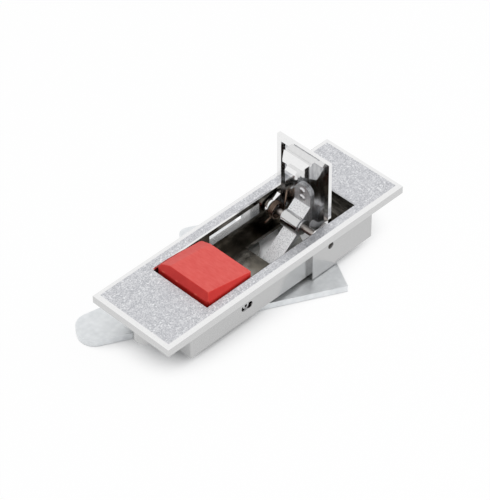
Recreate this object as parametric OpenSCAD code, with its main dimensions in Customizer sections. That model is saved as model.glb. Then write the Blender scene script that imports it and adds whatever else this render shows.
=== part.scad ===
// Pushbutton cabinet lock with a pop-up flap handle and a swinging latch plate.
// Millimetres, +Z up. The origin is the centre of the face plate, on the plane of its underside,
// which is the plane that rests on the panel. +X runs from the button towards the flap hinge.
// The flap is drawn raised and the latch plate is drawn in its unlocked place.

/* [Face plate] */
// Length of the face plate
face_l = 130; // [126:1:150]
// Width of the face plate
face_w = 42; // [42:1:50]
// Thickness of the face plate
face_t = 4; // [3.5:0.5:5]
// How far the edge bevel reaches in from the outline
bevel_out = 2; // [1:0.1:2.5]
// How far the edge bevel drops
bevel_down = 0.5; // [0.4:0.1:2]

/* [Housing] */
// Button end of the recess
recess_x0 = -38.7; // [-39.5:0.1:-38.6]
// Hinge end of the recess
recess_x1 = 43.2; // [40:0.1:44]
// Width of the recess
recess_w = 29.6; // [29.4:0.1:31]
// Chamfer round the mouth of the recess
mouth_chamfer = 0.5; // [0.2:0.1:0.8]
// Button end of the box
box_x0 = -51; // [-52:0.5:-49]
// Hinge end of the box
box_x1 = 48; // [47:0.5:49]
// Width of the box at the button half
box_w = 36; // [35:0.5:37]
// Where the wider half of the box starts
wide_x0 = 14; // [12:0.5:16]
// Width of the box at the hinge half
wide_w = 40; // [39:0.5:41]
// Depth of the box below the panel plane
box_d = 13; // [12.5:0.5:13]
// Floor thickness
floor_t = 1.6; // [1.2:0.1:1.8]
// Hinge end of the deeper pads
pad_x1 = 27.5; // [24:0.5:30]
// How much deeper the pads reach
pad_drop = 1.3; // [0.6:0.1:1.3]
// Width of each pad
pad_w = 4; // [3:0.5:6]
// Button end of the floor opening
opening_x0 = 6.5; // [4:0.5:9]
// Hinge end of the floor opening
opening_x1 = 40; // [38:0.5:42]
// Width of the floor opening
opening_w = 20; // [16:0.5:22]
// Wall left round the core pocket at the button end
core_wall = 2; // [1.5:0.1:3]
// Button end of the window in the far wall
window_x0 = -8.6; // [-10:0.1:-6]
// Hinge end of the window in the far wall
window_x1 = 19.2; // [16:0.1:20]
// Depth of the window's lower edge below the panel plane
window_low = 4.3; // [3:0.1:6]
// Height of the window's upper edge above the panel plane
window_high = 1.3; // [0.5:0.1:1.6]

/* [Mounting posts] */
// Distance of each post from the centre
post_x = 57.5; // [56.5:0.5:58.5]
// Post diameter
post_d = 10; // [8:0.5:11]
// Post length below the panel plane
post_h = 8.5; // [6:0.5:10]
// Diameter of the threaded hole
post_bore = 3.3; // [2.5:0.1:4.2]
// Depth of the threaded hole
post_bore_depth = 8; // [6:0.5:9]

/* [Button] */
// Button end of the button
button_x0 = -37.5; // [-37.5:0.1:-36.5]
// Flap end of the button
button_x1 = -13.8; // [-14.5:0.1:-13.7]
// Width of the button
button_w = 28.4; // [27:0.1:28.6]
// Height of the top above the face at the raised end
button_rise = 3.6; // [2:0.1:5]
// Height of the top above the face at the flap end
button_low = 1; // [0.5:0.1:1.8]
// Height above the face where the bevels start
button_bevel_z = 0.4; // [0.2:0.1:0.5]
// How far the bevels reach in at the raised end
button_bevel = 1.9; // [1:0.1:2.5]
// Depth of the skirt below the panel plane
button_skirt = 8.5; // [8:0.1:9]
// Wall thickness of the button
button_wall = 2; // [1.6:0.1:2.6]
// Reach of the catch nose beyond the flap end
nose_reach = 2.3; // [1.5:0.1:2.5]
// Height of the catch nose
nose_h = 2.2; // [1.5:0.1:3]
// Width of the catch nose
nose_w = 10; // [6:0.5:16]
// Place of the button pin along the lock
button_pin_x = -20.5; // [-21.5:0.1:-20]
// Depth of the button pin below the panel plane
button_pin_z = 6.4; // [6:0.1:6.8]
// Outside diameter of the pivot tube in the button
button_tube_d = 6; // [5.5:0.1:6.5]
// Distance from the middle to the ridge of the far facet
facet_y = 8.8; // [6:0.1:11]
// Drop of the far facet at the side of the button
facet_drop = 1.75; // [0.8:0.05:2]
// Radius of the button's upright corners
button_corner = 1.3; // [0.6:0.1:1.6]
// Clearance beside the button and the flap
side_gap = 0.6; // [0.4:0.05:0.8]

/* [Pins] */
// Diameter of both pins
pin_d = 3; // [2.6:0.1:3.2]
// Bore of the rolled button pin
pin_bore = 1.4; // [0.8:0.1:1.6]
// Length of the oblong hole round the button pin
pin_slot = 6; // [5:0.1:7]
// Running clearance round a pin, on the radius
pin_gap = 0.15; // [0.1:0.01:0.25]
// How far the pin ends lie inside the walls
pin_sink = 0.7; // [0.2:0.1:1]

/* [Flap] */
// Place of the hinge pin along the lock
hinge_x = 24.3; // [24:0.1:24.8]
// Depth of the hinge pin below the panel plane
hinge_z = 2.6; // [2.4:0.1:3]
// Width of the flap
flap_w = 28.2; // [26:0.1:28.6]
// Length of the flap from the pin to its free end
flap_reach = 35.2; // [33:0.1:35.2]
// Length of the flap behind the pin
flap_tail = 4.5; // [3.5:0.1:5]
// Thickness of the flap at its rim
flap_t = 2.2; // [2:0.1:2.6]
// Thickness of the flap inside its rim
flap_skin = 1; // [0.8:0.1:1.4]
// Width of the side rims
flap_rim = 2.2; // [1.6:0.1:3]
// Chamfer of the outer edges
flap_chamfer = 0.5; // [0.3:0.1:0.8]
// Width of the bar along the free end
end_bar = 3; // [2:0.1:4]
// Width of the hinge ears
ear_w = 2; // [1.6:0.1:2.2]
// Radius of the hinge ears round the pin
ear_r = 3.4; // [2.8:0.1:3.6]
// Height of the web that joins each ear to the flap
ear_web = 5; // [3:0.1:7]
// Width of the ribbed catch
catch_w = 14; // [12:0.1:16]
// Shift of the catch towards the far side
catch_y = 0.5; // [0:0.1:1]
// Taper of the catch's far side towards its front
catch_taper = 3.2; // [2:0.1:4]
// Distance of the catch's upper face from the pin, at the flap
catch_top = 32.5; // [31.4:0.1:33]
// Fall of that face towards the front of the catch
catch_fall = 0.2; // [0.1:0.1:0.8]
// Distance from the pin to the foot of the ribs
catch_foot = 22; // [20:0.1:24]
// How far the catch stands out beyond the pin axis
catch_out = 2.6; // [2:0.1:3.2]
// Thickness of the plates of the catch
catch_rib = 1.6; // [1.2:0.1:2]
// Distance of the groove across the catch from the flap
groove_in = 2.9; // [2.4:0.1:3.2]
// Width of that groove
groove_w = 1.2; // [0.8:0.1:1.6]
// Depth of that groove
groove_d = 0.8; // [0.4:0.1:1]
// Height of the catch lug
lug = 3.8; // [3:0.1:4.2]
// Width of the catch lug
lug_w = 5.4; // [4:0.1:7]
// Shift of the lug towards the near side
lug_y = 2; // [1:0.1:2.6]
// Distance of the lug's lower face from the pin
lug_low = 27.4; // [26.4:0.1:27.8]
// Reach of the lug from the front of the catch
lug_out = 2.4; // [1.8:0.1:2.8]
// Chamfer of the lug
lug_chamfer = 1; // [0.4:0.1:1.4]

/* [Crank] */
// Width of the crank's eye and upper arm
crank_eye_w = 8.6; // [8:0.1:9]
// Outside radius of the eye
crank_eye_r = 4; // [3.4:0.1:4.2]
// Width of the lower arm
crank_w = 7.4; // [6:0.1:7.6]
// Thickness of the lower arm
crank_t = 2.2; // [1.6:0.1:2.4]
// Distance from the hinge pin to the end of the lower arm
crank_l = 20; // [19:0.1:20.4]
// Slope of the lower arm with the flap raised
crank_dip = 38; // [36:1:40]
// Distance of the lower arm's middle plane from the pin axis
crank_off = 2; // [1.6:0.1:2.2]
// Length of the upper arm along the flap
crank_up = 16.6; // [15.4:0.1:17.4]
// Thickness of the upper arm
crank_plate = 1.2; // [1:0.1:1.8]
// Height on the flap where the neck of the crank meets the upper arm
crank_neck = 7.4; // [6.5:0.1:8]
// Diameter of the rivets between crank and flap
rivet_d = 2; // [1.6:0.1:2.4]
// Diameter of the rivet heads
rivet_head = 3.2; // [2.6:0.1:3.4]
// Height of the rivet heads
rivet_head_h = 0.6; // [0.4:0.1:0.8]
// Distance of the upper rivet from the end of the upper arm
rivet_edge = 3; // [2.4:0.1:3.4]
// Distance between the rivets
rivet_pitch = 3.6; // [3.4:0.1:4]

/* [Latch plate] */
// Place of the latch pivot along the lock
pivot_x = -10; // [-11:0.1:-9]
// Gap between the box floor and the latch plate
plate_drop = 1.7; // [1.7:0.1:2]
// Thickness of the latch plate
plate_t = 3; // [2.5:0.1:3]
// Turn of the latch plate from the lock's length, unlocked
plate_turn = 28; // [26:1:30]
// Turn of the latch plate for each degree of the flap
latch_ratio = 0.5; // [0.45:0.01:0.55]
// Distance of the straight near edge from the pivot
plate_near = 13.5; // [12.5:0.1:15]
// Reach of the square end from the pivot
square_reach = 43; // [40:0.5:46]
// Width of the square end
square_w = 19; // [17:0.5:20]
// Reach of the tongue tip from the pivot
tongue_reach = 65.4; // [60:0.1:68]
// Width of the tongue at its rounded tip
tongue_w = 16; // [14:0.1:18]
// Corner radius of the tongue tip
tongue_r = 7; // [5:0.1:7]
// Spread of the tongue's far edge
tongue_spread = 15; // [12:1:18]
// Reach of the driven arm from the pivot
arm_reach = 38.6; // [37:0.1:40]
// Left edge of the driven arm
arm_left = 12.4; // [11:0.1:14]
// Right edge of the driven arm
arm_right = 34; // [33:0.1:36]
// Corner radius of the driven arm
arm_r = 4; // [2:0.1:5]
// Half width of the cam slot
slot_half = 5.8; // [5.6:0.1:6.2]

/* [Pivot] */
// Diameter of the pivot rivet
pivot_d = 8; // [7:0.1:9]
// Running clearance round the pivot rivet, on the radius
pivot_gap = 0.2; // [0.12:0.01:0.3]
// Diameter of the flush head
pivot_head = 11; // [10:0.1:12]
// Depth of the flush head
pivot_sink = 1.5; // [1:0.1:1.8]
// Diameter of the inner head
pivot_inner = 12; // [10:0.1:13]
// Height of the inner head
pivot_inner_h = 1.4; // [1:0.1:1.6]
// Diameter of the boss and of the washer
pivot_boss = 15; // [13.5:0.1:17]
// Thickness of the washer
washer_t = 0.5; // [0.3:0.1:0.8]
// Running clearance between washer and latch plate
washer_gap = 0.1; // [0.05:0.01:0.2]

/* [Springs] */
// Wire diameter of the flap spring
spring_wire = 0.9; // [0.7:0.1:1]
// Wire diameter of the button spring
button_wire = 0.7; // [0.5:0.1:0.8]
// Turns of the flap spring
spring_turns = 4; // [3:1:6]
// Turns of the button spring
button_turns = 6; // [4:1:8]
// Overlap that joins neighbouring turns into one solid
turn_lap = 0.05; // [0.04:0.01:0.08]
// Clearance between the flap spring and its pin, on the radius
spring_gap = 1.4; // [0.8:0.1:1.6]
// Clearance between the button spring and the button, on the radius
button_spring_gap = 0.7; // [0.4:0.1:0.8]
// Clearance between the flap spring and the ear beside it
ear_gap = 0.1; // [0.06:0.01:0.3]
// Length of the flap spring's leg towards the floor
spring_leg = 6; // [4:0.1:6.4]
// Slope of that leg
spring_leg_dip = 12; // [8:1:16]
// Length of the flap spring's leg along the flap
flap_leg = 9; // [7:0.1:10]
// Lean of that leg towards the flap
flap_leg_lean = 11; // [6:1:11]
// Climb of the button spring's leg towards the button
button_leg_climb = 30; // [24:1:40]
// Length of the button spring's leg towards the floor
button_leg = 3; // [2:0.1:3.4]
// Slope of that leg
button_leg_dip = 20; // [14:1:24]

/* [Hidden] */
$fn = 64;
wide = wide_w / 2;
recess_cut = max(recess_w, button_w + 2 * side_gap, flap_w + 2 * side_gap);
mid_x = (recess_x0 + recess_x1) / 2;
recess_l = recess_x1 - recess_x0;
floor_top = -box_d + floor_t;
plate_top = -box_d - plate_drop;
plate_bottom = plate_top - plate_t;
pivot_boss_z = plate_top + washer_gap + washer_t;
flap_out = face_t + hinge_z;
flap_in = flap_out - flap_t;
drive_depth = plate_top - plate_t / 2 + hinge_z;
slot_step = 5;
slot_trim = 12;
arc_step = 7.5;
over = 1;
tongue_far = tongue_w - plate_near;
tongue_side = tongue_far - tongue_r + tongue_r / cos(tongue_spread);
tongue_join = tongue_side + (tongue_reach - tongue_r - arm_left) * tan(tongue_spread);
arm_bottom = square_w - plate_near;
washer_w = 0.8;
washer_space = 0.1;
washer_d = 6.4;
spring_r = pin_d / 2 + spring_gap + spring_wire / 2;
spring_pitch = spring_wire - turn_lap;
spring_y = flap_w / 2 - ear_w - ear_gap - spring_turns * spring_pitch;
button_hub_d = button_tube_d - 2;
button_spring_r = button_hub_d / 2 + button_spring_gap + button_wire / 2;
button_spring_pitch = button_wire - turn_lap;
button_ceiling = face_t - button_wall;
rest_gap = 0.05;
button_up_leg = (button_ceiling + button_pin_z - rest_gap
                 - (button_spring_r + button_wire / 2) * cos(button_leg_climb)) / sin(button_leg_climb);
leg_share = 0.75;
tube_half = 4;
coil_gap = 0.4;
rivet_rise = [crank_up - rivet_edge - rivet_pitch, crank_up - rivet_edge];
skin_in = flap_out - flap_skin;
crank_face = skin_in - crank_plate;
crank_turn = 180 + crank_dip;
inside = 0.9;
facet_angle = atan(facet_drop / (button_w / 2 - facet_y));
top_slope = atan((button_rise - button_low) / (button_x1 - button_x0 - button_bevel));

// Turns a plane point about the origin.
function turned(p, a) = [p[0] * cos(a) - p[1] * sin(a), p[0] * sin(a) + p[1] * cos(a)];

// Where the crank's lower arm crosses the middle of the latch plate, at a flap angle.
function drive_x(t) =
    let (d = crank_turn + t)
    let (n = d + 90)
    let (s = (drive_depth - crank_off * sin(n)) / sin(d))
    hinge_x + crank_off * cos(n) + s * cos(d);

// The same crossing as the turning latch plate sees it, from its pivot.
function slot_at(t) = turned([drive_x(t) - pivot_x, 0], t * latch_ratio);

// Points along an arc, from one angle to another.
function arc(c, r, a0, a1) =
    let (n = ceil(abs(a1 - a0) / arc_step))
    [for (i = [0:n]) c + r * [cos(a0 + (a1 - a0) * i / n), sin(a0 + (a1 - a0) * i / n)]];

// Unit normal of the cam slot's middle line.
function slot_normal(t) =
    let (d = slot_at(t + 1) - slot_at(t - 1))
    [-d[1], d[0]] / norm(d);

// A box whose sides lean outwards with height, seated on z = 0.
module leaning_box(l, w, h, lean) {
    intersection() {
        rotate([90, 0, 0])
            linear_extrude(height = w + 2 * lean, center = true)
                polygon([[-l / 2, 0], [l / 2, 0], [l / 2 + lean, h], [-l / 2 - lean, h]]);
        rotate([90, 0, 90])
            linear_extrude(height = l + 2 * lean, center = true)
                polygon([[-w / 2, 0], [w / 2, 0], [w / 2 + lean, h], [-w / 2 - lean, h]]);
    }
}

// The outline of a plate whose upper edges are bevelled, across one of its sizes.
module bevelled_outline(l, t, bevel_in, bevel_drop) {
    polygon([
        [-l / 2, 0], [l / 2, 0], [l / 2, t - bevel_drop], [l / 2 - bevel_in, t],
        [-l / 2 + bevel_in, t], [-l / 2, t - bevel_drop]
    ]);
}

// A plate seated on z = 0 with its four upper edges bevelled.
module bevelled_plate(l, w, t, bevel_in, bevel_drop) {
    intersection() {
        rotate([90, 0, 0])
            linear_extrude(height = w, center = true)
                bevelled_outline(l, t, bevel_in, bevel_drop);
        rotate([90, 0, 90])
            linear_extrude(height = l, center = true)
                bevelled_outline(w, t, bevel_in, bevel_drop);
    }
}

// A cylinder along Y, centred.
module y_rod(d, l) {
    rotate([90, 0, 0])
        cylinder(d = d, h = l, center = true);
}

// A box given by its X ends, its full width and its Z ends.
module span_box(x0, x1, w, z0, z1) {
    translate([x0, -w / 2, z0])
        cube([x1 - x0, w, z1 - z0]);
}

// Moves to the hinge axis. There X points out of the flap and Z points along it.
module at_hinge() {
    translate([hinge_x, 0, -hinge_z])
        children();
}

// Extrudes a plane drawing (out of the flap, along the flap) across the width.
module across(w) {
    rotate([90, 0, 0])
        linear_extrude(height = w, center = true)
            children();
}

// A close-wound coil along +Y, its first turn half a pitch from y = 0.
module coil(r, wire, turns, pitch) {
    rotate([-90, 0, 0])
        rotate_extrude()
            for (i = [0:turns - 1])
                translate([r, (i + 0.5) * pitch])
                    circle(d = wire, $fn = 24);
}

// A straight leg that leaves a coil's top towards -X and climbs by an angle.
module leg(r, wire, l, climb) {
    rotate([0, climb, 0])
        translate([0, 0, r])
            rotate([0, -90, 0])
                cylinder(d = leg_share * wire, h = l, $fn = 24);
}

// The casting: face plate, box, pads, pivot boss and posts.
module housing() {
    color([0.78, 0.79, 0.8])
        difference() {
            union() {
                bevelled_plate(face_l, face_w, face_t, bevel_out, bevel_down);
                span_box(box_x0, box_x1, box_w, -box_d, over);
                span_box(wide_x0, box_x1, wide_w, -box_d, over);
                for (s = [-1, 1])
                    translate([wide_x0, s * (wide - pad_w / 2) - pad_w / 2, -box_d - pad_drop])
                        cube([pad_x1 - wide_x0, pad_w, pad_drop + over]);
                translate([pivot_x, 0, pivot_boss_z])
                    cylinder(d = pivot_boss, h = -box_d - pivot_boss_z + over);
                for (s = [-1, 1])
                    translate([s * post_x, 0, -post_h])
                        cylinder(d = post_d, h = post_h + over);
            }
            span_box(recess_x0, recess_x1, recess_cut, floor_top, face_t + over);
            translate([mid_x, 0, face_t - mouth_chamfer])
                leaning_box(recess_l, recess_cut, mouth_chamfer + over, mouth_chamfer + over);
            span_box(opening_x0, opening_x1, opening_w, -box_d - over, floor_top + over);
            span_box(box_x0 + core_wall, recess_x0 - core_wall, box_w - 2 * core_wall,
                     -box_d - over, -core_wall);
            translate([window_x0, 0, -window_low]) {
                cube([window_x1 - window_x0, box_w / 2, window_low + window_high]);
                cube([window_x1 - window_x0, wide + over, window_low]);
            }
            translate([hinge_x, 0, -hinge_z])
                y_rod(pin_d, wide_w + 2 * over);
            translate([button_pin_x, 0, -button_pin_z]) {
                y_rod(pin_d, box_w + 2 * over);
                translate([0, -wide, 0])
                    cube([pin_slot - pin_d, wide_w - recess_cut, pin_d], center = true);
                for (s = [-1, 1])
                    translate([s * (pin_slot - pin_d) / 2, -wide, 0])
                        y_rod(pin_d, wide_w - recess_cut);
            }
            translate([pivot_x, 0, pivot_boss_z - over])
                cylinder(d = pivot_d, h = floor_top - pivot_boss_z + 2 * over);
            for (s = [-1, 1])
                translate([s * post_x, 0, -post_h - over])
                    cylinder(d = post_bore, h = post_bore_depth + over);
        }
}

// The space above the button's far facet.
module facet_space() {
    l = button_x1 - button_x0;
    translate([button_x0 + button_bevel, facet_y, face_t + button_rise])
        rotate([0, top_slope, 0])
            rotate([-facet_angle, 0, 0])
                translate([-l, 0, 0])
                    cube([3 * l, button_w, button_rise + over]);
}

// The button from above, with rounded corners.
module button_plan() {
    r = button_corner;
    y = button_w / 2 - r;
    polygon(concat(arc([button_x1 - r, y], r, 0, 90), arc([button_x0 + r, y], r, 90, 180),
                   arc([button_x0 + r, -y], r, 180, 270), arc([button_x1 - r, -y], r, 270, 360)));
}

// The button as a block: its plan crossed with a side drawing and an end drawing.
module button_block() {
    rise = face_t + button_rise;
    low = face_t + button_low;
    start = face_t + button_bevel_z;
    intersection() {
        translate([0, 0, -button_skirt])
            linear_extrude(height = rise + button_skirt)
                button_plan();
        rotate([90, 0, 0])
            linear_extrude(height = button_w, center = true)
                polygon([
                    [button_x0, -button_skirt], [button_x1, -button_skirt], [button_x1, low],
                    [button_x0 + button_bevel, rise], [button_x0, start]
                ]);
        rotate([90, 0, 90])
            translate([0, 0, button_x0])
                linear_extrude(height = button_x1 - button_x0)
                    polygon([
                        [-button_w / 2, -button_skirt], [button_w / 2, -button_skirt],
                        [button_w / 2, start], [button_w / 2 - button_bevel, rise],
                        [-button_w / 2 + button_bevel, rise], [-button_w / 2, start]
                    ]);
    }
}

// The red rocker with its pivot tube and its catch nose.
module button() {
    color([0.8, 0.08, 0.06])
        difference() {
            union() {
                difference() {
                    button_block();
                    facet_space();
                    span_box(button_x0 + button_wall, button_x1 - button_wall, button_w - 2 * button_wall,
                             -button_skirt - over, button_ceiling);
                }
                for (s = [-1, 1])
                    translate([button_pin_x, s * (tube_half + button_w / 2) / 2, -button_pin_z])
                        y_rod(button_hub_d, button_w / 2 - tube_half);
                translate([button_pin_x, 0, -button_pin_z])
                    y_rod(button_tube_d, 2 * tube_half);
                translate([button_pin_x - button_wall / 2, -tube_half, -button_pin_z])
                    cube([button_wall, 2 * tube_half, button_pin_z + button_ceiling + over / 2]);
                span_box(button_x1 - over, button_x1 + nose_reach, nose_w, -nose_h, 0);
            }
            translate([button_pin_x, 0, -button_pin_z])
                y_rod(pin_d + 2 * pin_gap, button_w + 2 * over);
        }
}

// The rolled pin of the button.
module button_pin() {
    color([0.55, 0.55, 0.56])
        translate([button_pin_x, 0, -button_pin_z])
            difference() {
                y_rod(pin_d, box_w - 2 * pin_sink);
                y_rod(pin_bore, box_w + 2 * over);
            }
}

// The button's return spring, wound on the pivot tube, with a leg to the button and one to the floor.
module button_spring() {
    color([0.5, 0.42, 0.36])
        translate([button_pin_x, tube_half + coil_gap, -button_pin_z]) {
            coil(button_spring_r, button_wire, button_turns, button_spring_pitch);
            translate([0, button_spring_pitch / 2, 0])
                leg(button_spring_r, button_wire, button_up_leg, button_leg_climb);
            translate([0, (button_turns - 0.5) * button_spring_pitch, 0])
                mirror([0, 0, 1])
                    leg(button_spring_r, button_wire, button_leg, button_leg_dip);
        }
}

// The flap's catch: a grooved roof on two ribs, tapered on its far side, with the lug under its front edge.
module flap_catch() {
    root = skin_in + flap_skin / 2;
    front = -catch_out;
    lip = skin_in - groove_in;
    edge = lip - groove_w;
    roof = catch_top - catch_fall;
    deep = catch_top - groove_d;
    under = deep - catch_rib;
    side = catch_w / 2;
    lean = catch_taper / (edge - front);
    translate([0, catch_y, 0])
        difference() {
            union() {
                for (s = [-1, 1])
                    translate([0, s * (side - catch_rib / 2), 0])
                        across(catch_rib)
                            polygon([[root, under], [front, roof - catch_rib / 2],
                                     [front, roof - 2 * catch_rib], [root, catch_foot]]);
                across(catch_w)
                    polygon([[root, catch_top], [lip, catch_top], [lip, deep], [edge, deep], [edge, catch_top],
                             [front, roof], [front, roof - catch_rib], [root, under]]);
            }
            translate([0, 0, catch_foot])
                linear_extrude(height = catch_top - catch_foot + over)
                    polygon([[edge, side], [front - over, side - catch_taper - lean * over],
                             [front - over, side + over], [edge, side + over]]);
        }
    translate([front, -lug_y, 0])
        rotate([90, 0, 90])
            linear_extrude(height = catch_rib)
                polygon([[lug_w / 2 + catch_rib, roof - catch_rib / 2],
                         [-lug_w / 2 - catch_rib, roof - catch_rib / 2],
                         [-lug_w / 2, lug_low], [lug_w / 2, lug_low]]);
    translate([0, -lug_y, 0])
        across(lug_w)
            polygon([[front + catch_rib / 2, lug_low], [front + catch_rib / 2, lug_low + lug],
                     [front - lug_out + lug_chamfer, lug_low + lug],
                     [front - lug_out, lug_low + lug - lug_chamfer],
                     [front - lug_out, lug_low + lug_chamfer], [front - lug_out + lug_chamfer, lug_low]]);
}

// The raised flap: skin, rims, hinge ears and catch.
module flap() {
    color([0.82, 0.83, 0.85])
        at_hinge()
            difference() {
                union() {
                    difference() {
                        translate([flap_in, 0, (flap_reach - flap_tail) / 2])
                            rotate([0, 90, 0])
                                bevelled_plate(flap_reach + flap_tail, flap_w, flap_t,
                                               flap_chamfer, flap_chamfer);
                        translate([flap_in - over, -flap_w / 2 + flap_rim, -flap_tail - over])
                            cube([flap_t - flap_skin + over, flap_w - 2 * flap_rim,
                                  flap_reach + flap_tail - end_bar + over]);
                    }
                    for (s = [-1, 1])
                        translate([0, s * (flap_w - ear_w) / 2, 0])
                            across(ear_w) {
                                circle(r = ear_r);
                                polygon([[0, -inside * ear_r], [skin_in, -flap_tail], [skin_in, ear_web],
                                         [0, inside * ear_r]]);
                            }
                    flap_catch();
                }
                y_rod(pin_d + 2 * pin_gap, flap_w + 2 * over);
                for (z = rivet_rise)
                    translate([skin_in - over, 0, z])
                        rotate([0, 90, 0])
                            cylinder(d = rivet_d, h = flap_skin / 2 + over, $fn = 32);
            }
}

// The hinge pin of the flap.
module hinge_pin() {
    color([0.6, 0.55, 0.5])
        at_hinge()
            y_rod(pin_d, wide_w - 2 * pin_sink);
}

// The two washers beside the crank's eye.
module hinge_washers() {
    color([0.85, 0.86, 0.87])
        at_hinge()
            for (s = [-1, 1])
                translate([0, s * (crank_eye_w / 2 + washer_space + washer_w / 2), 0])
                    difference() {
                        y_rod(washer_d, washer_w);
                        y_rod(pin_d, washer_w + 2 * over);
                    }
}

// The flap's torsion spring with one leg on the flap and one towards the floor.
module flap_spring() {
    color([0.55, 0.4, 0.3])
        at_hinge()
            translate([0, spring_y, 0]) {
                coil(spring_r, spring_wire, spring_turns, spring_pitch);
                translate([0, spring_pitch / 2, 0])
                    leg(spring_r, spring_wire, flap_leg, 90 + flap_leg_lean);
                translate([0, (spring_turns - 0.5) * spring_pitch, 0])
                    mirror([0, 0, 1])
                        leg(spring_r, spring_wire, spring_leg, spring_leg_dip);
            }
}

// The bell crank: eye, upper arm against the flap and flat lower arm.
module crank() {
    d = crank_turn;
    n = d + 90;
    mid = crank_off * [cos(n), sin(n)];
    along = [cos(d), sin(d)];
    side = crank_t / 2 * [cos(n), sin(n)];
    tip = mid + crank_l * along;
    color([0.7, 0.71, 0.72])
        at_hinge()
            difference() {
                union() {
                    across(crank_eye_w) {
                        circle(r = crank_eye_r);
                        polygon([[0, inside * crank_eye_r], [0, -inside * crank_eye_r], [skin_in, 0],
                                 [skin_in, crank_neck + crank_plate], [crank_face, crank_neck]]);
                    }
                    translate([crank_face, 0, 0])
                        rotate([90, 0, 90])
                            linear_extrude(height = crank_plate)
                                polygon(concat([[-crank_eye_w / 2, 0], [crank_eye_w / 2, 0]],
                                               arc([0, crank_up - crank_eye_w / 2], crank_eye_w / 2, 0, 180)));
                    across(crank_w)
                        polygon([mid - side, mid + side, tip + side, tip - side]);
                }
                y_rod(pin_d + 2 * pin_gap, crank_eye_w + 2 * over);
                for (z = rivet_rise)
                    translate([-crank_eye_r, 0, z])
                        rotate([0, 90, 0])
                            cylinder(d = rivet_d, h = 2 * flap_out, $fn = 32);
            }
}

// The two rivets between crank and flap.
module crank_rivets() {
    color([0.8, 0.8, 0.82])
        at_hinge()
            for (z = rivet_rise)
                translate([skin_in + flap_skin / 2, 0, z])
                    rotate([0, -90, 0]) {
                        cylinder(d = rivet_d, h = crank_plate + flap_skin / 2, $fn = 32);
                        translate([0, 0, crank_plate + flap_skin / 2])
                            cylinder(d1 = rivet_head, d2 = rivet_d, h = rivet_head_h, $fn = 32);
                    }
}

// The outline of the latch plate in its own axes, with the pivot at the origin.
module plate_outline() {
    tip_x = -tongue_reach + tongue_r;
    polygon(concat(
        [[square_reach, -plate_near], [square_reach, arm_bottom]],
        [[arm_right, arm_bottom], [arm_right, arm_reach]],
        arc([-arm_left + arm_r, arm_reach - arm_r], arm_r, 90, 180),
        [[-arm_left, tongue_join]],
        arc([tip_x, tongue_far - tongue_r], tongue_r, 90 + tongue_spread, 180),
        arc([tip_x, -plate_near + tongue_r], tongue_r, 180, 270)
    ));
}

// The cam slot that the crank's lower arm drives, open at the end of the driven arm.
module cam_slot() {
    steps = [0:slot_step:90];
    start = slot_normal(0);
    start_angle = atan2(start[1], start[0]);
    polygon(concat(
        [for (t = steps) slot_at(90 - t) + slot_half * slot_normal(90 - t)],
        arc(slot_at(0), slot_half, start_angle + slot_trim, start_angle + 180 - slot_trim),
        [for (t = steps) slot_at(t) - slot_half * slot_normal(t)]
    ));
}

// The T-shaped latch plate.
module latch_plate() {
    color([0.75, 0.77, 0.78])
        translate([pivot_x, 0, plate_bottom])
            difference() {
                rotate([0, 0, -plate_turn])
                    linear_extrude(height = plate_t)
                        plate_outline();
                translate([0, 0, -over])
                    linear_extrude(height = plate_t + 2 * over)
                        cam_slot();
                translate([0, 0, -over])
                    cylinder(r = pivot_d / 2 + pivot_gap, h = plate_t + 2 * over);
                cylinder(d1 = pivot_head + 2 * pivot_gap, d2 = pivot_d + 2 * pivot_gap,
                         h = pivot_sink + pivot_gap);
            }
}

// The pivot rivet: inner head, shank and flush outer head.
module pivot_rivet() {
    color([0.72, 0.73, 0.74])
        translate([pivot_x, 0, 0]) {
            translate([0, 0, floor_top])
                cylinder(d1 = pivot_inner, d2 = pivot_d, h = pivot_inner_h);
            translate([0, 0, plate_bottom + pivot_gap])
                cylinder(d = pivot_d, h = floor_top - plate_bottom);
            translate([0, 0, plate_bottom])
                cylinder(d1 = pivot_head, d2 = pivot_d, h = pivot_sink);
        }
}

// The washer between boss and latch plate.
module pivot_washer() {
    color([0.8, 0.8, 0.8])
        translate([pivot_x, 0, plate_top + washer_gap])
            difference() {
                cylinder(d = pivot_boss, h = washer_t);
                translate([0, 0, -over])
                    cylinder(d = pivot_d, h = washer_t + 2 * over);
            }
}

housing();
button();
button_pin();
button_spring();
flap();
hinge_pin();
hinge_washers();
flap_spring();
crank();
crank_rivets();
latch_plate();
pivot_rivet();
pivot_washer();
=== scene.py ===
import math

import bmesh
import bpy
from mathutils import Matrix, Vector


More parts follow.
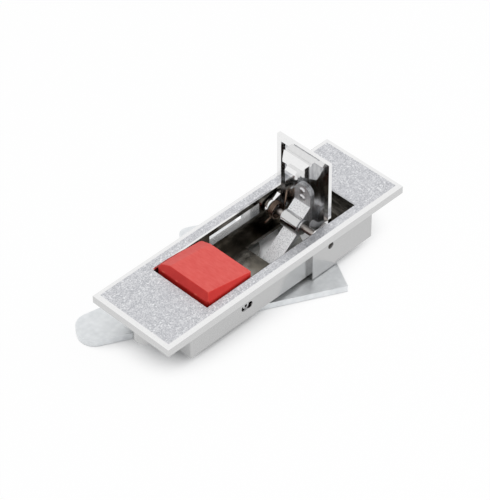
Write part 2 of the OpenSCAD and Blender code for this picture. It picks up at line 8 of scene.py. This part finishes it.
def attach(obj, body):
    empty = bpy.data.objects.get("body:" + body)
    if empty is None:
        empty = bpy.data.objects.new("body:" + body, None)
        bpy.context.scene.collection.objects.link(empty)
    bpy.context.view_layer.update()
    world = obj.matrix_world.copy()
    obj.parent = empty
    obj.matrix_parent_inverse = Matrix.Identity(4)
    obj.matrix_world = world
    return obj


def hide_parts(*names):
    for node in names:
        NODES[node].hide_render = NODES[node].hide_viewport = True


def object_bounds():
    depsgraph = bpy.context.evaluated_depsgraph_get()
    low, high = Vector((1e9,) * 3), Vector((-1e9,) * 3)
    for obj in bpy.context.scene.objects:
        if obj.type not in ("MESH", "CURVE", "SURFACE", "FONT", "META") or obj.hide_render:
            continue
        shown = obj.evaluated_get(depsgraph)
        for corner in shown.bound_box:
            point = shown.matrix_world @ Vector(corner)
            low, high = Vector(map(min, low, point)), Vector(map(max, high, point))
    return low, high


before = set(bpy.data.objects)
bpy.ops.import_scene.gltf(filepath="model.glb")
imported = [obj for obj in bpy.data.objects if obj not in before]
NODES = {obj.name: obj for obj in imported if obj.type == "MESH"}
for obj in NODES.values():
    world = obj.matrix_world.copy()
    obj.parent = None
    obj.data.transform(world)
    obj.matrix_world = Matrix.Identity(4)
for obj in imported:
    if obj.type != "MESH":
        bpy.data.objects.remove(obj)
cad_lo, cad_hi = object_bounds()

MM = 0.001
SCENE = bpy.context.scene
SCENE.view_settings.view_transform = "Standard"

# Sizes of the solids that the pieces and materials below have to meet, in millimetres.
FACE_T = 4.0
RECESS_X = (-38.7, 43.2)
RECESS_W = 29.6
MOUTH = 0.5
HINGE = (24.3, -2.6)
FLAP_SKIN = 5.6
BUTTON_PIN = (-20.5, -6.4)
BARREL_R = 4.0
SLOT = (17.0, 0.0, -14.7)

# How near a face has to be to a plane, in millimetres, and how squarely it has to face an axis.
NEAR = 0.05
SQUARE = 0.9
DEAD_SQUARE = 0.99
LEANING = 0.3

# Camera, read from the corners of the face plate in the photograph, in pixels, radians and millimetres.
FOCAL_PX = 2429.26
IMAGE_H = 500
SENSOR = 36.0
CAM_AZ = math.radians(-44.528)
CAM_EL = math.radians(42.907)
CAM_ROLL = math.radians(-0.656)
CAM_ACROSS = -2.503
CAM_UP = -4.345
CAM_DIST = 951.667

# Floor and light. Lengths here are in metres; a lamp has a name, a place, a size and watts.
FLOOR_HALF = 3.0
FLOOR_GAP = 0.0002
SHADE_REACH = 0.045
GLOW_SHARE = 0.97
SKY = (0.92, 0.95, 1.0, 1)
SKY_LEVEL = 0.36
WHITE = (1, 1, 1, 1)
LAMPS = (
    ("key", (0.45, -0.40, 0.60), 0.60, 3.6),
    ("top", (-0.35, 0.10, 0.75), 0.60, 2.4),
)

# Meshes: rounding of edges, sides of a wire, and degrees of a coil between two of its points.
WELD_GAP = 1e-6
EDGE_SEGMENTS = 2
EDGE_ANGLE = math.radians(32)
SMOOTH_SHARE = 0.5
FEWER_FACES = 0.3
WIRE_SIDES = 14
COIL_STEP = 12

# Painted shade on the latch plate round the cam slot, where it lies under the housing, in metres.
UNDER_SHADE_INNER = 0.019
UNDER_SHADE_OUTER = 0.024
UNDER_SHADE_RAGGED = 0.006


def add_camera():
    """The photograph's camera, placed against the top of the face plate."""
    right = Vector((math.cos(CAM_AZ), math.sin(CAM_AZ), 0))
    level = math.cos(CAM_EL)
    back = Vector((math.sin(CAM_AZ) * level, -math.cos(CAM_AZ) * level, math.sin(CAM_EL)))
    up = back.cross(right)
    turned_right = math.cos(CAM_ROLL) * right + math.sin(CAM_ROLL) * up
    turned_up = -math.sin(CAM_ROLL) * right + math.cos(CAM_ROLL) * up
    place = turned_right * CAM_ACROSS + turned_up * CAM_UP + back * CAM_DIST
    place += Vector((0, 0, FACE_T))
    data = bpy.data.cameras.new("camera")
    data.sensor_width = SENSOR
    data.lens = SENSOR * FOCAL_PX / IMAGE_H
    camera = bpy.data.objects.new("camera", data)
    SCENE.collection.objects.link(camera)
    turn = Matrix((turned_right, turned_up, back)).transposed().to_4x4()
    camera.matrix_world = Matrix.Translation(place * MM) @ turn
    SCENE.camera = camera


class Graph:
    """A material and short ways to add nodes to it."""

    def __init__(self, name):
        self.mat = bpy.data.materials.new(name)
        self.mat.use_nodes = True
        self.tree = self.mat.node_tree
        self.bsdf = self.tree.nodes["Principled BSDF"]
        place = self.add("ShaderNodeTexCoord").outputs
        self.coords = place["Object"]
        self.normals = place["Normal"]

    def add(self, kind, links=None, **values):
        """A node, with its inputs linked or set by name and its properties set by attribute."""
        node = self.tree.nodes.new(kind)
        for key, value in values.items():
            setattr(node, key, value)
        for key, value in (links or {}).items():
            self.put(node.inputs[key], value)
        return node

    def put(self, socket, value):
        """Links an output to a socket, or sets the socket's own value."""
        if isinstance(value, bpy.types.NodeSocket):
            self.tree.links.new(value, socket)
        else:
            socket.default_value = value

    def shade(self, **values):
        """Sets or links the shader's inputs, with _ for a blank in a name."""
        for key, value in values.items():
            self.put(self.bsdf.inputs[key.replace("_", " ")], value)
        return self.mat

    def scaled(self, size, stretch=(1, 1, 1), offset=(0, 0, 0)):
        """Coordinates in units of size millimetres, stretched along the axes."""
        return self.add("ShaderNodeMapping", {
            "Vector": self.coords, "Location": offset,
            "Scale": [1 / (size * MM * s) for s in stretch]}).outputs[0]

    def noise(self, size, detail=2.0, rough=0.5, stretch=(1, 1, 1), offset=(0, 0, 0)):
        """Noise whose grain is about size millimetres."""
        return self.add("ShaderNodeTexNoise", {
            "Vector": self.scaled(size, stretch, offset), "Scale": 1.0,
            "Detail": detail, "Roughness": rough}).outputs["Fac"]

    def cells(self, size):
        """Random cells of about size millimetres."""
        return self.add("ShaderNodeTexVoronoi", {"Vector": self.scaled(size), "Scale": 1.0}).outputs

    def ramp(self, fac, *stops):
        """A colour ramp with stops of (place, colour)."""
        node = self.add("ShaderNodeValToRGB", {"Fac": fac})
        elements = node.color_ramp.elements
        while len(elements) < len(stops):
            elements.new(0.5)
        for element, (place, colour) in zip(elements, stops):
            element.position = place
            element.color = (*colour, 1.0)
        return node.outputs["Color"]

    def spread(self, fac, low, high, from_low=0.3, from_high=0.7):
        """Maps a value to a range."""
        return self.add("ShaderNodeMapRange", {
            "Value": fac, "From Min": from_low, "From Max": from_high,
            "To Min": low, "To Max": high}).outputs["Result"]

    def math(self, kind, a, b):
        """The result of one sum."""
        return self.add("ShaderNodeMath", {0: a, 1: b}, operation=kind).outputs[0]

    def mix(self, fac, a, b):
        """A colour between a and b."""
        node = self.add("ShaderNodeMix", data_type="RGBA")
        self.put(node.inputs[0], fac)
        self.put(node.inputs[6], a)
        self.put(node.inputs[7], b)
        return node.outputs[2]

    def bump(self, height, depth, strength, under=None):
        """A bump of depth millimetres, on top of another one."""
        links = {"Height": height, "Strength": strength, "Distance": depth * MM}
        if under is not None:
            links["Normal"] = under
        return self.add("ShaderNodeBump", links).outputs["Normal"]


def grey(v):
    return (v, v, v, 1.0)


def satin_metal():
    """The sparkling satin top of the face plate."""
    g = Graph("satin_top")
    grain = g.noise(0.55, 2, 0.6)
    patch = g.noise(2.2, 3, 0.6)
    cloud = g.noise(16, 2)
    flakes = g.add("ShaderNodeSeparateColor", {"Color": g.cells(0.6)["Color"]}).outputs[0]
    both = g.math("ADD", g.math("MULTIPLY", grain, 0.72), g.math("MULTIPLY", patch, 0.28))
    tone = g.ramp(
        both, (0.36, (0.42, 0.43, 0.455)), (0.5, (0.60, 0.605, 0.63)), (0.64, (0.78, 0.785, 0.80)))
    tone = g.mix(g.spread(flakes, 0.0, 0.8, 0.84, 1.0), tone, (0.96, 0.97, 0.98, 1))
    tone = g.mix(g.spread(cloud, 0.0, 0.3), tone, (0.55, 0.555, 0.585, 1))
    return g.shade(
        Base_Color=tone, Metallic=1.0, Roughness=g.spread(patch, 0.34, 0.46),
        Normal=g.bump(grain, 0.04, 0.4, g.bump(patch, 0.06, 0.3)))


def polished(name, base, rough, wave, depth):
    """Plated metal with the slow ripples of a casting."""
    g = Graph(name)
    slow = g.noise(wave, 1, 0.4)
    fine = g.noise(0.5, 3, 0.6)
    return g.shade(
        Base_Color=g.mix(g.spread(fine, 0.0, 0.5), grey(base), grey(base * 0.86)),
        Metallic=1.0, Roughness=g.spread(fine, rough, rough * 1.8),
        Normal=g.bump(slow, depth, 0.6, g.bump(fine, 0.006, 0.5)))


def shaded_recess_metal():
    """The thinly plated inside of the recess, with brownish streaks, darkened far below any plated metal
    as painted shade.
    """
    g = Graph("recess_inside")
    streak = g.noise(4, 3, 0.55, (3.0, 3.0, 0.7))
    patch = g.noise(7, 2, 0.5, offset=(3, 1, 2))
    fine = g.noise(0.5, 3, 0.6)
    tone = g.ramp(
        streak, (0.3, (0.035, 0.035, 0.03)), (0.5, (0.11, 0.10, 0.085)), (0.72, (0.35, 0.33, 0.295)))
    tone = g.mix(g.spread(patch, 0.0, 0.5, 0.45, 0.7), tone, (0.22, 0.20, 0.165, 1))
    return g.shade(
        Base_Color=tone, Metallic=1.0, Roughness=g.spread(fine, 0.10, 0.26),
        Normal=g.bump(streak, 0.35, 0.5, g.bump(fine, 0.01, 0.5)))


def flap_skin():
    """The hollow side of the flap: plating darker than the outer chrome, with ripples and upright
    streaks.
    """
    g = Graph("flap_inside")
    slow = g.noise(6, 2, 0.5, (1, 1, 3.0))
    patch = g.noise(2.5, 3, 0.55, (1, 1, 4.0), offset=(2, 5, 1))
    fine = g.noise(0.5, 3, 0.6)
    tone = g.ramp(
        patch, (0.32, (0.34, 0.345, 0.36)), (0.5, (0.47, 0.475, 0.49)), (0.68, (0.62, 0.625, 0.63)))
    return g.shade(
        Base_Color=tone, Metallic=1.0, Roughness=g.spread(patch, 0.08, 0.18),
        Normal=g.bump(slow, 0.35, 0.6, g.bump(fine, 0.01, 0.5)))


def speckled():
    """Zinc on a stamped arm, with a coarse light and dark grain."""
    g = Graph("zinc_crank")
    grain = g.noise(0.4, 2, 0.6, (1.6, 1, 1))
    cloud = g.noise(4, 2)
    tone = g.ramp(
        grain, (0.36, (0.52, 0.525, 0.535)), (0.5, (0.81, 0.815, 0.825)), (0.64, (0.95, 0.955, 0.96)))
    return g.shade(
        Base_Color=g.mix(g.spread(cloud, 0.0, 0.3), tone, (0.70, 0.705, 0.715, 1)), Metallic=0.7,
        Roughness=g.spread(grain, 0.30, 0.42), Normal=g.bump(grain, 0.03, 0.4))


def red_plastic():
    """Matte moulded red with a fine texture, paler along its edges, and paler on its top: part dust,
    part painted sheen.
    """
    g = Graph("red_button")
    fine = g.noise(0.22, 2, 0.5)
    cloud = g.noise(6, 3)
    top_patches = g.noise(1.2, 3, 0.6, (1, 3, 1))
    tone = g.mix(g.spread(cloud, 0.0, 1.0), (0.62, 0.020, 0.015, 1), (0.70, 0.032, 0.024, 1))
    # Faces that point up are made paler in patches: part dust, part painted sheen where the top catches
    # the light.
    facing = g.add("ShaderNodeSeparateXYZ", {"Vector": g.normals}).outputs["Z"]
    dust_and_top_sheen = g.math(
        "MULTIPLY", g.spread(facing, 0.0, 1.0, 0.86, 0.97), g.spread(top_patches, 0.55, 1.0))
    tone = g.mix(dust_and_top_sheen, tone, (0.775, 0.117, 0.098, 1))
    sharp = g.add("ShaderNodeNewGeometry").outputs["Pointiness"]
    tone = g.mix(g.spread(sharp, 0.0, 0.55, 0.52, 0.57), tone, (0.88, 0.16, 0.11, 1))
    return g.shade(
        Base_Color=tone, Roughness=g.spread(fine, 0.38, 0.5), Specular_IOR_Level=0.45,
        Normal=g.bump(fine, 0.02, 0.5, g.bump(cloud, 0.12, 0.3)))


def zinc():
    """Bright zinc on rolled sheet, slightly mottled, with painted shade darkening it round the cam slot,
    where it lies under the housing.
    """
    g = Graph("zinc_plate")
    spangle = g.cells(2.2)["Distance"]
    cloud = g.noise(5, 3, 0.6)
    roll = g.noise(0.5, 3, 0.6, (14, 1, 1))
    tone = g.ramp(
        cloud, (0.3, (0.80, 0.82, 0.83)), (0.55, (0.88, 0.90, 0.91)), (0.75, (0.93, 0.945, 0.95)))
    tone = g.mix(g.spread(spangle, 0.0, 0.14, 0.2, 0.7), tone, (0.52, 0.54, 0.56, 1))
    # Painted shade: a ragged ring round the cam slot darkens the plate where the housing shades it.
    centre = [v * MM for v in SLOT]
    reach = g.add("ShaderNodeVectorMath", {0: g.coords, 1: centre}, operation="DISTANCE")
    shade_edge = g.math("ADD", reach.outputs["Value"], g.math("MULTIPLY", cloud, UNDER_SHADE_RAGGED))
    shade_tone = g.ramp(
        g.noise(3, 3, 0.6, (2.5, 1, 1)), (0.35, (0.24, 0.24, 0.225)), (0.65, (0.46, 0.455, 0.43)))
    tone = g.mix(g.spread(shade_edge, 1.0, 0.0, UNDER_SHADE_INNER, UNDER_SHADE_OUTER), tone, shade_tone)
    return g.shade(
        Base_Color=tone, Metallic=0.65, Roughness=g.spread(cloud, 0.28, 0.40),
        Normal=g.bump(roll, 0.02, 0.35, g.bump(cloud, 0.06, 0.3)))


def steel(name, low, high, rough):
    """Drawn steel with lines along its length."""
    g = Graph(name)
    lines = g.noise(0.25, 3, 0.6, (1, 12, 1))
    cloud = g.noise(2.5, 2)
    tone = g.ramp(lines, (0.3, low), (0.7, high))
    return g.shade(
        Base_Color=g.mix(g.spread(cloud, 0.0, 0.5), tone, (*low, 1)), Metallic=1.0,
        Roughness=g.spread(lines, rough, rough * 1.6), Normal=g.bump(lines, 0.015, 0.5))


def floor_material():
    """Plain pale paper that looks white wherever the lock doesn't shade it."""
    g = Graph("floor")
    pale = g.mix(g.spread(g.noise(60, 2), 0.0, 0.4), grey(0.92), grey(0.90))
    g.shade(Base_Color=pale, Roughness=0.9)
    shade = g.add("ShaderNodeAmbientOcclusion", {"Distance": SHADE_REACH}, samples=16)
    ray = g.add("ShaderNodeLightPath").outputs
    shown = g.math("MAXIMUM", ray["Is Camera Ray"], ray["Is Glossy Ray"])
    shown = g.math("MAXIMUM", shown, ray["Is Transmission Ray"])
    share = g.math("MULTIPLY", shown, g.spread(shade.outputs["AO"], 0.0, GLOW_SHARE, 0.16, 0.6))
    glow = g.add("ShaderNodeEmission", {"Color": WHITE, "Strength": 1.0}).outputs[0]
    blend = g.add("ShaderNodeMixShader", {0: share, 1: g.bsdf.outputs[0], 2: glow})
    g.tree.links.new(blend.outputs[0], g.tree.nodes["Material Output"].inputs["Surface"])
    return g.mat


def add_floor():
    """A floor just below the lowest point of the part."""
    mesh = bpy.data.meshes.new("floor")
    corners = ((-1, -1), (1, -1), (1, 1), (-1, 1))
    z = cad_lo.z - FLOOR_GAP
    mesh.from_pydata([(x * FLOOR_HALF, y * FLOOR_HALF, z) for x, y in corners], [], [(0, 1, 2, 3)])
    mesh.materials.append(floor_material())
    floor = bpy.data.objects.new("floor", mesh)
    SCENE.collection.objects.link(floor)


def add_world():
    """A soft pale sky that the camera and reflections see as white."""
    world = bpy.data.worlds.new("studio")
    SCENE.world = world
    world.use_nodes = True
    nodes, links = world.node_tree.nodes, world.node_tree.links
    sky = nodes["Background"]
    sky.inputs["Color"].default_value = SKY
    sky.inputs["Strength"].default_value = SKY_LEVEL
    white = nodes.new("ShaderNodeBackground")
    white.inputs["Color"].default_value = WHITE
    ray = nodes.new("ShaderNodeLightPath").outputs
    shown = ray["Is Camera Ray"]
    for other in ("Is Glossy Ray", "Is Transmission Ray"):
        either = nodes.new("ShaderNodeMath")
        either.operation = "MAXIMUM"
        links.new(shown, either.inputs[0])
        links.new(ray[other], either.inputs[1])
        shown = either.outputs[0]
    mix = nodes.new("ShaderNodeMixShader")
    for socket, source in zip(mix.inputs, (shown, sky.outputs[0], white.outputs[0])):
        links.new(source, socket)
    links.new(mix.outputs[0], nodes["World Output"].inputs["Surface"])


def add_lamp(name, place, size, watts):
    """A soft square lamp aimed at the lock."""
    data = bpy.data.lights.new(name, "AREA")
    data.size = size
    data.energy = watts
    lamp = bpy.data.objects.new(name, data)
    SCENE.collection.objects.link(lamp)
    lamp.location = place
    lamp.rotation_mode = "QUATERNION"
    lamp.rotation_quaternion = Vector(place).to_track_quat("Z", "Y")
    lamp.visible_glossy = False


def soften(obj, width):
    """Rounds a solid's sharp edges with modifiers and leaves its own mesh alone."""
    weld = obj.modifiers.new("weld", "WELD")
    weld.merge_threshold = WELD_GAP
    edge = obj.modifiers.new("edge", "BEVEL")
    edge.width = width * MM
    edge.segments = EDGE_SEGMENTS
    edge.limit_method = "ANGLE"
    edge.angle_limit = EDGE_ANGLE
    edge.use_clamp_overlap = True
    edge.harden_normals = True


def round_over(obj, voxel, passes):
    """Rounds a moulded solid all over: a fine remesh, smoothing and then fewer faces."""
    skin = obj.modifiers.new("skin", "REMESH")
    skin.mode = "VOXEL"
    skin.voxel_size = voxel * MM
    skin.use_smooth_shade = True
    even = obj.modifiers.new("even", "SMOOTH")
    even.factor = SMOOTH_SHARE
    even.iterations = passes
    fewer = obj.modifiers.new("fewer", "DECIMATE")
    fewer.ratio = FEWER_FACES


def tube(name, points, radius):
    """A round wire along points in millimetres, with flat ends."""
    bm = bmesh.new()
    path = [Vector(p) * MM for p in points]
    turns = [2 * math.pi * k / WIRE_SIDES for k in range(WIRE_SIDES)]
    side = None
    rings = []
    for i, p in enumerate(path):
        ahead = (path[min(i + 1, len(path) - 1)] - path[max(i - 1, 0)]).normalized()
        if side is None:
            side = ahead.orthogonal().normalized()
        side = (side - ahead * side.dot(ahead)).normalized()
        other = ahead.cross(side)
        spokes = [side * math.cos(t) + other * math.sin(t) for t in turns]
        rings.append([bm.verts.new(p + spoke * radius * MM) for spoke in spokes])
    for a, b in zip(rings, rings[1:]):
        for k in range(WIRE_SIDES):
            n = (k + 1) % WIRE_SIDES
            bm.faces.new((a[k], a[n], b[n], b[k])).smooth = True
    bm.faces.new(list(reversed(rings[0])))
    bm.faces.new(rings[-1])
    mesh = bpy.data.meshes.new(name)
    bm.to_mesh(mesh)
    bm.free()
    obj = bpy.data.objects.new(name, mesh)
    SCENE.collection.objects.link(obj)
    return obj


def torsion_spring(name, node, body, centre, radius, wire, ends, legs, turns):
    """A wound spring about the Y axis.

    ends holds the angle and y of the coil's start and of its end, and legs their lengths.
    """
    (a0, y0), (a1, y1) = ends
    total = a1 - a0 + 360 * turns

    def at(share):
        t = math.radians(a0 + total * share)
        return Vector((
            centre[0] + radius * math.cos(t), y0 + (y1 - y0) * share, centre[1] + radius * math.sin(t)))

    def along(angle):
        t = math.radians(angle)
        return Vector((-math.sin(t), 0, math.cos(t)))

    steps = int(total / COIL_STEP)
    coil = [at(i / steps) for i in range(steps + 1)]
    start = coil[0] - along(a0) * legs[0]
    end = coil[-1] + along(a1) * legs[1]
    piece = tube(name, [start, *coil, end], wire / 2)
    piece.data.materials.append(WIRE)
    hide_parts(node)
    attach(piece, body)


def paint(name, *mats):
    """Gives a solid its materials, all faces taking the first."""
    data = NODES[name].data
    data.materials.clear()
    for m in mats:
        data.materials.append(m)
    for p in data.polygons:
        p.material_index = 0


def zone_flap(chrome, skin, satin):
    """Materials of the flap: the floor of its hollow side takes the second, its outer face the third."""
    paint("flap", chrome, skin, satin)
    floor_x = (HINGE[0] + FLAP_SKIN - 2 * NEAR) * MM
    for p in NODES["flap"].data.polygons:
        if p.normal.x < -SQUARE and p.center.x > floor_x:
            p.material_index = 1
        elif p.normal.x > DEAD_SQUARE:
            p.material_index = 2


def zone_crank(arm, barrel):
    """Materials of the crank: the turned barrel round the hinge pin takes the second."""
    paint("crank", arm, barrel)
    for p in NODES["crank"].data.polygons:
        c = p.center / MM
        reach = math.hypot(c.x - HINGE[0], c.z - HINGE[1])
        if reach < BARREL_R + 2 * NEAR and abs(p.normal.y) < 0.5:
            p.material_index = 1


def zone_pin(name, side, end):
    """Materials of a pin along Y: its two ends take the second."""
    paint(name, side, end)
    for p in NODES[name].data.polygons:
        if abs(p.normal.y) > SQUARE:
            p.material_index = 1


def zone_housing(cast, satin, edge, inside, shaded_side):
    """Materials of the casting by the place and the lean of each face."""
    paint("housing", cast, satin, edge, inside, shaded_side)
    top = (FACE_T - NEAR) * MM
    for p in NODES["housing"].data.polygons:
        c = p.center / MM
        in_length = RECESS_X[0] - MOUTH < c.x < RECESS_X[1] + MOUTH
        in_recess = in_length and abs(c.y) < RECESS_W / 2 + MOUTH
        if p.center.z > top and p.normal.z > SQUARE:
            p.material_index = 1
        elif in_recess and c.z < FACE_T - MOUTH - NEAR:
            p.material_index = 3
        elif c.z > NEAR:
            # Upright faces of the face plate and the recess mouth take the darker copy as painted shade;
            # faces that lean up take the bright one.
            p.material_index = 2 if p.normal.z > LEANING else 4


add_camera()
SATIN = satin_metal()
EDGE = polished("polished_edge", 0.88, 0.07, 5, 0.05)
# A darker copy of the polished edge for upright faces: painted shade.
SHADED_SIDE_EDGE = polished("shaded_plate_side", 0.64, 0.12, 5, 0.08)
CAST = polished("plated_casting", 0.54, 0.16, 6, 0.10)
FLAP = polished("chrome_flap", 0.88, 0.06, 5, 0.10)
BARREL = polished("bright_barrel", 0.66, 0.10, 3, 0.04)
PIN = steel("pin_steel", (0.30, 0.27, 0.25), (0.55, 0.52, 0.49), 0.25)
# The hinge pin's end caps are made near-black: painted shade of pin ends sunk in their holes.
SHADED_PIN_END = steel("shaded_pin_end", (0.05, 0.045, 0.04), (0.14, 0.13, 0.12), 0.35)
RIVET = steel("rivet_steel", (0.55, 0.55, 0.56), (0.74, 0.74, 0.75), 0.25)
WIRE = steel("spring_wire", (0.10, 0.07, 0.055), (0.34, 0.25, 0.19), 0.16)

zone_housing(CAST, SATIN, EDGE, shaded_recess_metal(), SHADED_SIDE_EDGE)
paint("button", red_plastic())
zone_pin("button_pin", PIN, RIVET)
zone_flap(FLAP, flap_skin(), SATIN)
zone_pin("hinge_pin", PIN, SHADED_PIN_END)
zone_crank(speckled(), BARREL)
paint("latch_plate", zinc())
for small in ("hinge_washers", "crank_rivets", "pivot_rivet", "pivot_washer"):
    paint(small, RIVET)

soften(NODES["housing"], 0.18)
round_over(NODES["button"], 0.25, 4)
soften(NODES["flap"], 0.18)
soften(NODES["latch_plate"], 0.25)
torsion_spring("flap_coil", "flap_spring", "handle", HINGE, 3.35, 0.8,
               ((-78, 11.575), (-11, 9.025)), (6.0, 9.0), 3)
torsion_spring("button_coil", "button_spring", "rocker", BUTTON_PIN, 3.05, 0.6,
               ((-70, 7.975), (60, 4.725)), (3.0, 11.0), 5)

add_floor()
add_world()
for lamp in LAMPS:
    add_lamp(*lamp)
